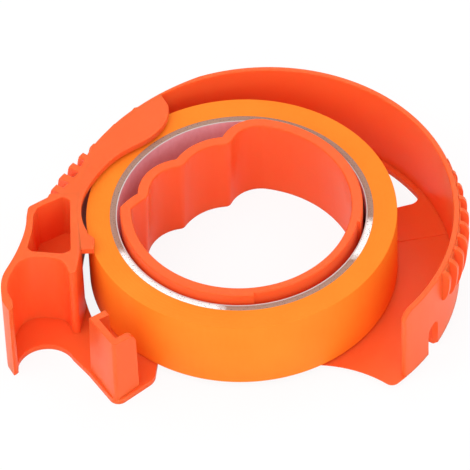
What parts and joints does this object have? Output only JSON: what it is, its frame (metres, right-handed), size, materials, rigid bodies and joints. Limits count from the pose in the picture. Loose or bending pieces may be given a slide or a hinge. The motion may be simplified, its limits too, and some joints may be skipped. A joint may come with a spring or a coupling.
{
  "type": "masking tape applicator",
  "caption": "One-hand masking tape applicator: moulded frame with a ring hub for the roll, a guard wall, ribbed grips and a nose with a toothed cutting edge.",
  "frame": {"origin": "on the roll's axis, at the underside of the base plate", "axes": "+Z along the roll's axis, up from the base plate; +Y from the nose towards the back of the guard wall; +X to the open side with the slot"},
  "size_m": [0.1428, 0.1106, 0.03],
  "materials": {
    "moulding": "glossy, slightly translucent orange moulding",
    "core_board": "matt paperboard, cut edge",
    "core_paper": "matt pale liner paper",
    "tape": "creped masking paper, wound"
  },
  "bodies": {
    "frame": {"base_plate": "moulding", "guard_wall": "moulding", "retaining_tab": "moulding", "left_grip": "moulding", "right_grip": "moulding", "hand_ring": "moulding", "nose_housing": "moulding", "cutter_comb": "moulding", "guide_post": "moulding"},
    "roll": {"core_tube": "core_board", "core_liner": "core_paper", "tape_winding": "tape"}
  },
  "joints": [
    {"name": "roll_spin", "type": "hinge", "parent": "frame", "child": "roll", "pos_m": [0, 0, 0], "axis": [0, 0, 1], "continuous": true}
  ]
}
